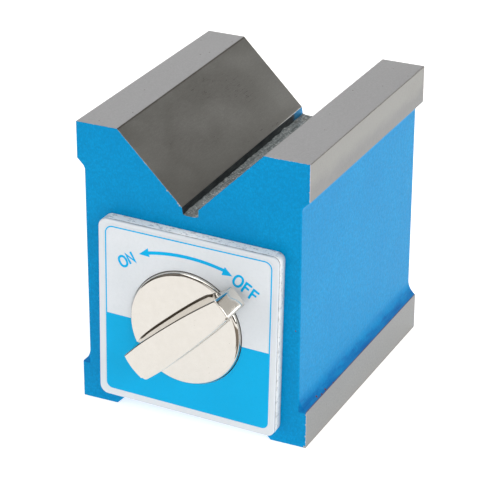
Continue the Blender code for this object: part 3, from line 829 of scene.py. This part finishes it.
def moved_out(quad, by):
    """The four-sided outline with every side moved out by the same distance."""
    middle = Vector((sum(p[0] for p in quad) / 4, sum(p[1] for p in quad) / 4))
    out = []
    for i, p in enumerate(quad):
        total = Vector((0.0, 0.0))
        for a, b in ((quad[i - 1], p), (p, quad[(i + 1) % 4])):
            t = (Vector(b) - Vector(a)).normalized()
            n = Vector((-t.y, t.x))
            total += n if n.dot((Vector(a) + Vector(b)) / 2 - middle) > 0 else -n
        out.append(tuple(Vector(p) + total * by))
    return out


plate = prism("front_plate_finished", filleted(PLATE_QUAD, {0: 2.2, 1: 1.8, 2: 2.0, 3: 2.2}, 10), -3.72, -0.02)
bevel(plate, 0.24, 3, 60)
boolean(plate, lathe("hole", [(0, -5), (HOLE_R, -5), (HOLE_R, 1), (0, 1)], 128))
for sx, sz in plate_screws:
    boolean(
        plate,
        lathe("seat", [(0, -5), (3.0, -5), (3.0, -3.2), (1.7, -1.6), (1.7, 1), (0, 1)], 32, (sx, sz)),
    )
boolean(plate, lathe("pin_hole", [(0, -2.4), (1.3, -2.4), (1.3, 1), (0, 1)], 24, (AXIS_X, AXIS_Z + 17.8)))
plate.data.materials.append(M_PLATE)
tidy(plate, 40)
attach(plate, "block")
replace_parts(plate, "front_plate")

# ---------------------------------------------------------------- label and its print
LABEL_FRONT = -3.84


def disc_hole(depth_front, depth_back, r=HOLE_R):
    return lathe("hole", [(0, depth_front), (r, depth_front), (r, depth_back), (0, depth_back)], 128)


sheet_corners = {0: 2.35, 1: 2.35, 2: 1.9, 3: 1.9}
label = prism("label_sheet_finished", filleted(moved_out(PRINT_QUAD, 0.35), sheet_corners, 10), LABEL_FRONT, -3.73)
bevel(label, 0.03, 2, 60)
boolean(label, disc_hole(-5, -3))
label.data.materials.append(M_LABEL)
tidy(label, 40)
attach(label, "block")
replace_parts(label, "label_sheet")

INK = 0.022
LINE = 0.33


def printed(name, obj, finish=None):
    obj.data.materials.clear()
    obj.data.materials.append(finish or M_PRINT)
    obj.data.shade_flat()
    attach(obj, "block")
    return obj


# The lower field: the border's outline below a slightly sloping edge
field = filleted([(-21.07, 26.80), (22.27, 25.32), PRINT_QUAD[2], PRINT_QUAD[3]], {2: 1.6, 3: 1.6}, 10)
blue_field = prism("label_lower_field", field, LABEL_FRONT - INK, LABEL_FRONT - 0.002)
boolean(blue_field, disc_hole(-5, -3, HOLE_R + 0.01))
printed("label_lower_field", blue_field)

# The thin border line around the upper field
frame_line = prism(
    "label_border_line", filleted(PRINT_QUAD, {0: 2.0, 1: 2.0, 2: 1.6, 3: 1.6}, 10), LABEL_FRONT - INK, LABEL_FRONT - 0.002
)
inner = filleted(moved_out(PRINT_QUAD, -LINE), {0: 2.0 - LINE, 1: 2.0 - LINE, 2: 1.3, 3: 1.3}, 10)
boolean(frame_line, prism("inner", inner, LABEL_FRONT - 1, LABEL_FRONT + 1))
boolean(
    frame_line,
    prism("below", [(-40, 27.42), (-40, -40), (40, -40), (40, 24.69)], LABEL_FRONT - 1, LABEL_FRONT + 1),
)
printed("label_border_line", frame_line, M_INK)


def offset_stroke(pts, r, closed):
    """The outline of an even stroke with rounded ends along a run of points, or its outer and inner lines if closed."""
    if closed:
        n = len(pts) - 1
        out, inn = [], []
        for i in range(n):
            t = (pts[(i + 1) % n] - pts[i - 1]).normalized()
            normal = Vector((t.y, -t.x))
            out.append(tuple(pts[i] + normal * r))
            inn.append(tuple(pts[i] - normal * r))
        return out, inn
    left, right = [], []
    for i, p in enumerate(pts):
        before = (p - pts[i - 1]).normalized() if i else (pts[1] - p).normalized()
        after = (pts[i + 1] - p).normalized() if i < len(pts) - 1 else before
        n0, n1 = Vector((-before.y, before.x)), Vector((-after.y, after.x))
        n = (n0 + n1).normalized()
        k = min(2.2, 1.0 / max(0.3, n.dot(n0)))
        left.append(p + n * r * k)
        right.append(p - n * r * k)
    t0 = (pts[1] - pts[0]).normalized()
    t1 = (pts[-1] - pts[-2]).normalized()
    a0 = math.degrees(math.atan2(t0.y, t0.x))
    a1 = math.degrees(math.atan2(t1.y, t1.x))
    cap_end = arc(pts[-1].x, pts[-1].y, r, a1 + 90, a1 - 90, 6)[1:-1]
    cap_start = arc(pts[0].x, pts[0].y, r, a0 - 90, a0 - 270, 6)[1:-1]
    return [tuple(p) for p in left] + cap_end + [tuple(p) for p in reversed(right)] + cap_start


def letter(name, strokes, place, angle, weight=0.60):
    """A sans-serif letter of even strokes, in millimetres about its own middle."""
    obj = None
    for stroke in strokes:
        closed = stroke[0] == stroke[-1]
        shape = offset_stroke([Vector(p) for p in stroke], weight / 2, closed)
        if closed:
            piece = prism(name, tilted(shape[0], angle, place), LABEL_FRONT - INK, LABEL_FRONT - 0.002)
            boolean(piece, prism("inner", tilted(shape[1], angle, place), LABEL_FRONT - 1, LABEL_FRONT + 1))
        else:
            piece = prism(name, tilted(shape, angle, place), LABEL_FRONT - INK, LABEL_FRONT - 0.002)
        if obj is None:
            obj = piece
        else:
            boolean(obj, piece, "UNION")
    obj.name = name
    return printed(name, obj, M_INK)


def oval(w, h, count=48):
    """The letter O as a closed run, between an oval and a racetrack."""
    pts = []
    for i in range(count):
        a = 2 * math.pi * i / count
        c, s = math.cos(a), math.sin(a)
        e = 0.9
        pts.append((w / 2 * math.copysign(abs(c) ** e, c), h / 2 * math.copysign(abs(s) ** e, s)))
    return pts + [pts[0]]


F_STROKES = [[(1.35, 1.28), (0.0, 1.28), (0.0, -1.28)], [(0.0, 0.1), (1.1, 0.1)]]
letter("label_on_o", [oval(1.94, 2.66)], (-16.06, 41.22), 30.0)
letter("label_on_n", [[(-0.72, -1.15), (-0.72, 1.15), (0.72, -1.15), (0.72, 1.15)]], (-14.06, 42.49), 30.0)
letter("label_off_o", [oval(2.12, 2.9)], (14.06, 42.39), -31.0)
letter("label_off_f1", F_STROKES, (15.60, 41.26), -30.0)
letter("label_off_f2", F_STROKES, (17.44, 39.88), -30.0)

# The double-headed arrow over the knob
ARC_X, ARC_Z, ARC_R, BAND = -0.31, 3.1, 42.6, 0.85
arrow = prism(
    "label_arrow",
    arc(ARC_X, ARC_Z, ARC_R + BAND / 2, 102.2, 75.5, 40) + arc(ARC_X, ARC_Z, ARC_R - BAND / 2, 75.5, 102.2, 40),
    LABEL_FRONT - INK,
    LABEL_FRONT - 0.002,
)
for head in ([(-11.78, 43.97), (-9.42, 45.97), (-8.94, 43.75)], [(12.56, 43.28), (9.75, 43.11), (10.61, 45.31)]):
    boolean(arrow, prism("head", head, LABEL_FRONT - INK, LABEL_FRONT - 0.002), "UNION")
printed("label_arrow", arrow, M_INK)


# ---------------------------------------------------------------- knob
shoulder = [
    (13.6 + 0.9 * math.sin(math.radians(a)), -3.84 - 1.2 * math.cos(math.radians(a))) for a in range(0, 91, 10)
]
knob = lathe(
    "knob_finished",
    [(0, -5.04)]
    + shoulder
    + filleted_open(
        [
            (14.5, -3.6), (14.5, -2.9), (12.95, -2.9), (12.95, -1.1), (14.5, -1.1), (14.5, 0.1),
            (19.6, 0.1), (19.6, 2.9), (8.0, 2.9), (8.0, 11.6), (0, 11.6),
        ],
        [0, 0.15, 0, 0, 0.15, 0, 0.25, 0.25, 0, 0.3, 0],
        6,
    ),
    144,
)

# The bar in its own view: s runs from the knob's axis to the pointer, w to its upper left. Each edge is a run of (s, w).
TOP_UPPER = [(-13.4, 3.45), (-7.3, 3.78), (-2.0, 3.72), (3.0, 3.55), (8.0, 3.26), (13.0, 2.82), (17.8, 2.29)]
TOP_LOWER = [(-12.4, -4.30), (-7.3, -4.56), (-2.0, -4.44), (3.0, -4.22), (8.0, -3.90), (13.0, -3.50), (17.8, -3.00)]
LEAN = [(-13.6, 0.50), (-5.0, 0.55), (3.0, 0.62), (9.0, 0.62), (13.5, 0.40), (18.0, 0.05)]  # how far the foot stands out
TAIL_R, TIP_S, TIP_LEAN = 13.7, 17.8, 2.0


def smooth_at(table, s):
    """The value at s on a smooth curve through the table."""
    if s <= table[0][0]:
        return table[0][1] + (s - table[0][0]) * (table[1][1] - table[0][1]) / (table[1][0] - table[0][0])
    if s >= table[-1][0]:
        return table[-1][1]
    for i in range(len(table) - 1):
        if table[i][0] <= s <= table[i + 1][0]:
            break
    slope = []
    for k in (i, i + 1):
        lo, hi = max(0, k - 1), min(len(table) - 1, k + 1)
        slope.append((table[hi][1] - table[lo][1]) / (table[hi][0] - table[lo][0]))
    span = table[i + 1][0] - table[i][0]
    t = (s - table[i][0]) / span
    a, b = table[i][1], table[i + 1][1]
    return (
        a * (1 + 2 * t) * (1 - t) ** 2
        + span * slope[0] * t * (1 - t) ** 2
        + b * t * t * (3 - 2 * t)
        + span * slope[1] * t * t * (t - 1)
    )


def bar_line(lean, tip, stations=44):
    """The bar's outline at one height: `lean` is the share of the foot's spread, `tip` how far the nose has moved on."""
    def upper(s):
        return smooth_at(TOP_UPPER, s) + lean * smooth_at(LEAN, s)

    def lower(s):
        return smooth_at(TOP_LOWER, s) - lean * smooth_at(LEAN, s)

    # the tail follows the disc's rim
    a_up = math.atan2(upper(-13.0), -13.0)
    a_low = math.atan2(lower(-12.6), -12.6)
    s_up, s_low = TAIL_R * math.cos(a_up), TAIL_R * math.cos(a_low)
    end = TIP_S + tip
    corner = 0.75
    line = []
    for k in range(stations + 1):
        s = s_up + 0.55 + (end - corner - s_up - 0.55) * k / stations
        line.append((s, upper(s)))
    w = upper(end - corner)
    for k in range(1, 7):
        t = math.radians(90 - 90 * k / 6)
        line.append((end - corner + corner * math.cos(t), w - corner + corner * math.sin(t)))
    w0, w1 = upper(end - corner) - corner, lower(end - corner) + corner
    for k in range(1, 8):  # the nose bulges a little
        f = k / 8
        line.append((end + 0.14 * math.sin(math.pi * f), w0 + (w1 - w0) * f))
    w = lower(end - corner)
    for k in range(0, 7):
        t = math.radians(-90 * k / 6)
        line.append((end - corner + corner * math.cos(t), w + corner + corner * math.sin(t)))
    rounding = 1.15
    for k in range(1, stations + 1):
        s = end - corner + (s_low + rounding - end + corner) * k / stations
        line.append((s, lower(s)))
    # the lower corner of the tail is rounded, the upper one crisp
    p0, p1 = line[-1], (s_low - 0.02, lower(s_low) + rounding * 0.95)
    knee = (s_low + 0.08, lower(s_low) + 0.02)
    for k in range(1, 7):
        f = k / 7
        line.append(
            tuple((1 - f) ** 2 * p0[i] + 2 * f * (1 - f) * knee[i] + f * f * p1[i] for i in (0, 1))
        )
    a0, a1 = math.atan2(p1[1], p1[0]), a_up + 0.008
    a0 += 2 * math.pi if a0 < 0 else 0
    for k in range(0, 15):
        t = a0 + (a1 - a0) * k / 14
        line.append((TAIL_R * math.cos(t), TAIL_R * math.sin(t)))
    return line


def shrink(outline, by):
    """The outline drawn in by a distance, or by one for each point."""
    out = []
    n = len(outline)
    for i in range(n):
        t = (Vector(outline[(i + 1) % n]) - Vector(outline[i - 1])).normalized()
        d = by[i] if isinstance(by, list) else by
        out.append((outline[i][0] - t.y * -d, outline[i][1] + t.x * -d))
    return out


BAR_FOOT, ROUND, FILLET = -4.88, 0.42, 0.5
top_line = bar_line(0.0, 0.0)
sections = []
for k in range(7):
    t = math.radians(90 * k / 6)
    back = 1 - math.sin(t)  # the nose's top edge is rounded further back than the sides
    sections.append((shrink(bar_line(0.0, -0.42 * back), ROUND * back), KNOB_TOP + ROUND * (1 - math.cos(t))))
SPAN = BAR_FOOT - KNOB_TOP - ROUND


def bar_at(y):
    f = (y - KNOB_TOP - ROUND) / SPAN
    return bar_line(f, TIP_LEAN * f + 0.35 * f * (1 - f))


for y in (-10.4, -8.9, -7.4, -6.3):
    sections.append((bar_at(y), y))
for k in range(6):  # the concave fillet where the bar's sides meet the disc; none past the rim
    t = math.radians(90 * k / 5)
    y = -5.04 - FILLET * (1 - math.sin(t))
    line = bar_at(y)
    spread = [-FILLET * (1 - math.cos(t)) * min(1.0, max(0.0, (13.3 - math.hypot(*p)) / 1.2)) for p in line]
    sections.append((shrink(line, spread), y + 0.02))
sections.append((bar_at(BAR_FOOT), BAR_FOOT))


def loft(name, sections, angle):
    c, s = math.cos(math.radians(angle)), math.sin(math.radians(angle))
    bm = bmesh.new()
    loops = [
        [bm.verts.new(world(AXIS_X + u * c - w * s, y, AXIS_Z + u * s + w * c)) for u, w in line] for line, y in sections
    ]
    for near, far in zip(loops, loops[1:]):
        for i in range(len(near)):
            j = (i + 1) % len(near)
            bm.faces.new((near[i], near[j], far[j], far[i]))
    bm.faces.new(loops[0])
    bm.faces.new(list(reversed(loops[-1])))
    return obj_from(name, bm)


bar = loft("bar", sections, POINTER_ANGLE)
# the pointer end is cut back under its nose, clear of the label
under = tilted([(13.9, -7), (23, -7), (23, 7), (13.9, 7)], POINTER_ANGLE, (AXIS_X, AXIS_Z))
boolean(bar, prism("undercut", under, -6.0, -3.0))
boolean(knob, bar, "UNION")
boolean(
    knob,
    prism("tenon", [(AXIS_X + x, AXIS_Z + z) for x, z in rounded_rectangle(9.0, 9.0, 0.4, 3)], 10.0, 14.9),
    "UNION",
)
play = math.degrees(math.asin(1.32 / 17.8))
boolean(
    knob,
    prism(
        "notch",
        arc(AXIS_X, AXIS_Z, 21.0, -play, 90 + play, 24) + arc(AXIS_X, AXIS_Z, 16.2, 90 + play, -play, 24),
        -0.1,
        3.3,
    ),
)
knob.data.materials.clear()
knob.data.materials.append(M_CHROME)
tidy(knob, 28)
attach(knob, "switch")
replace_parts(knob, "knob")

# ---------------------------------------------------------------- rear cover and its screws
cover = lathe(
    "rear_cover_finished",
    filleted_open([(0, 67.75), (21.85, 67.75), (21.85, 69.95), (0, 69.95)], [0, 0.15, 0.35, 0], 5),
    128,
)
for sx, sz in cover_screws:
    boolean(cover, lathe("seat", [(0, 66), (1.3, 66), (1.3, 68.5), (2.25, 69.65), (2.25, 71), (0, 71)], 40, (sx, sz)))
cover.data.materials.clear()
cover.data.materials.append(M_COVER)
tidy(cover, 30)
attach(cover, "block")
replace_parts(cover, "rear_cover")

for i, (sx, sz) in enumerate(cover_screws, 1):
    s = lathe(
        f"rear_cover_screw_{i}_finished",
        [(0, 60.9), (0.8, 60.9), (1.08, 61.3), (1.08, 68.55), (2.08, 69.55), (2.12, 69.7), (2.02, 69.85), (0, 69.85)],
        40,
        (sx, sz),
    )
    hexagon = [
        (sx + 0.8 * math.cos(math.radians(60 * k + 11 * i)), sz + 0.8 * math.sin(math.radians(60 * k + 11 * i)))
        for k in range(6)
    ]
    boolean(s, prism("socket", hexagon, 68.7, 71))
    s.data.materials.clear()
    s.data.materials.append(M_SCREW)
    tidy(s, 30)
    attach(s, "block")
    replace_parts(s, f"rear_cover_screw_{i}")

# ---------------------------------------------------------------- finishes of the carried-over CAD nodes
FINISH = {
    "stop_pin": M_SCREW,
    "front_bush": M_BRONZE,
    "rear_bush": M_BRONZE,
    "thrust_washer": M_NYLON,
    "wave_washer": M_SPRING,
    "knob_o_ring": M_RUBBER,
    "rotor_front_cap": M_BRONZE,
    "rotor_rear_cap": M_BRONZE,
    "rotor_magnet": M_FERRITE,
    "rotor_shoe_upper": M_ROTOR,
    "rotor_shoe_lower": M_ROTOR,
}
for node, obj in frame["nodes"].items():
    finish = FINISH.get(node, M_SCREW if "screw" in node else None)
    if finish is None:
        continue
    for slot in obj.material_slots:
        slot.material = finish
    if not obj.material_slots:
        obj.data.materials.append(finish)

# ---------------------------------------------------------------- floor, light and camera
floor_mesh = bmesh.new()
bmesh.ops.create_grid(floor_mesh, x_segments=1, y_segments=1, size=2.5)
floor = obj_from("floor", floor_mesh)
floor.location = (0, 0, -0.00005)
floor_mat = Mat("pale_floor")
soft = floor_mat.noise(0.02, 2, 0.5)
floor_mat.set(
    color=floor_mat.mix(floor_mat.remap(soft, 0.3, 0.7, 0, 1), (0.56, 0.56, 0.56), (0.60, 0.60, 0.60)), rough=0.8
)
floor_mat.bsdf.inputs["Emission Color"].default_value = (1.0, 1.0, 1.0, 1.0)
floor_mat.bsdf.inputs["Emission Strength"].default_value = 0.74
floor.data.materials.append(floor_mat.mat)

bg = bpy.data.worlds.new("studio")
bpy.context.scene.world = bg
bg.use_nodes = True
bg.node_tree.nodes["Background"].inputs["Color"].default_value = (0.080, 0.066, 0.052, 1)
bg.node_tree.nodes["Background"].inputs["Strength"].default_value = 1.0


def softbox(name, location, target, size, power, colour=(1, 1, 1)):
    light = bpy.data.lights.new(name, "AREA")
    light.shape = "RECTANGLE"
    light.size, light.size_y = size
    light.energy = power
    light.color = colour
    obj = bpy.data.objects.new(name, light)
    obj.location = location
    obj.rotation_euler = (Vector(target) - Vector(location)).to_track_quat("-Z", "Y").to_euler()
    bpy.context.scene.collection.objects.link(obj)
    return obj


MIDDLE = (0, 0, 0.035)
softbox("key", (0.55, -0.95, 0.95), MIDDLE, (1.0, 0.8), 2.2)
softbox("fill", (-0.85, -0.55, 0.75), MIDDLE, (0.9, 0.9), 0.4)
softbox("overhead", (-0.1, 0.15, 1.3), MIDDLE, (1.2, 1.2), 10.7)
softbox("low_front", (0.05, -1.25, 0.30), MIDDLE, (1.4, 0.5), 2.3)
softbox("low_left_front", (-1.0, -0.8, 0.25), MIDDLE, (0.8, 0.4), 3.3).visible_glossy = False
softbox("right", (1.25, 0.15, 0.35), MIDDLE, (0.9, 0.5), 4.4)
softbox("right_front", (1.1, -0.6, 0.6), MIDDLE, (0.8, 0.6), 6.3)
softbox("back_left", (-0.75, 1.0, 0.65), MIDDLE, (0.9, 0.7), 1.7)
softbox("back", (0.05, 1.35, 0.5), MIDDLE, (1.2, 0.6), 0.5)
softbox("low_back", (0.1, 1.4, 0.12), MIDDLE, (1.2, 0.2), 4.2)



def card(name, size, location, rotation, colour, glow=0.0):
    """A sheet for the polished knob to mirror; it shows in reflections only."""
    grid = bmesh.new()
    bmesh.ops.create_grid(grid, x_segments=1, y_segments=1, size=0.5)
    sheet = obj_from(name, grid)
    sheet.scale = (size[0], size[1], 1)
    sheet.location = location
    sheet.rotation_euler = rotation
    sheet.visible_camera = sheet.visible_diffuse = sheet.visible_shadow = sheet.visible_transmission = False
    m = Mat(name)
    m.set(color=colour, rough=0.9)
    m.bsdf.inputs["Emission Color"].default_value = (1.0, 0.985, 0.95, 1.0)
    m.bsdf.inputs["Emission Strength"].default_value = glow
    sheet.data.materials.append(m.mat)


# a brown one lying beside the block for the disc's turned edge, a grey one up to the right for the pointer's nose
card("flag_right", (0.18, 0.13), (0.118, -0.105, 0.001), (0, 0, 0), (0.26, 0.215, 0.17))
card("flag_near", (0.026, 0.095), (0.016, -0.1215, 0.001), (0, 0, 0), (0.26, 0.215, 0.17))
toward = (Vector((0, 0, 0.035)) - Vector((0.72, 0.26, 0.56))).to_track_quat("-Z", "Y").to_euler()
card("card_beside", (0.46, 0.34), (0.72, 0.26, 0.56), toward, (0.1, 0.1, 0.1), 0.52)

cam = bpy.data.cameras.new("camera")
cam.sensor_width = 36.0
cam.lens = 163.2
cam.clip_start = 0.01
cam.clip_end = 20
camera = bpy.data.objects.new("camera", cam)
row0 = Vector((0.90148617, 0.43280096, 0.0024527))
row1 = Vector((0.18502084, -0.38024664, -0.9061897))
row2 = Vector((-0.39126714, 0.81737129, -0.42286428))
turn = Matrix((row0, -row1, -row2)).transposed().to_4x4()
camera.matrix_world = Matrix.Translation(Vector((208.70, -409.57 + FRONT_Y, 262.86)) * MM) @ turn
bpy.context.scene.collection.objects.link(camera)
bpy.context.scene.camera = camera

bpy.context.scene.view_settings.view_transform = "Standard"
bpy.context.scene.view_settings.look = "None"
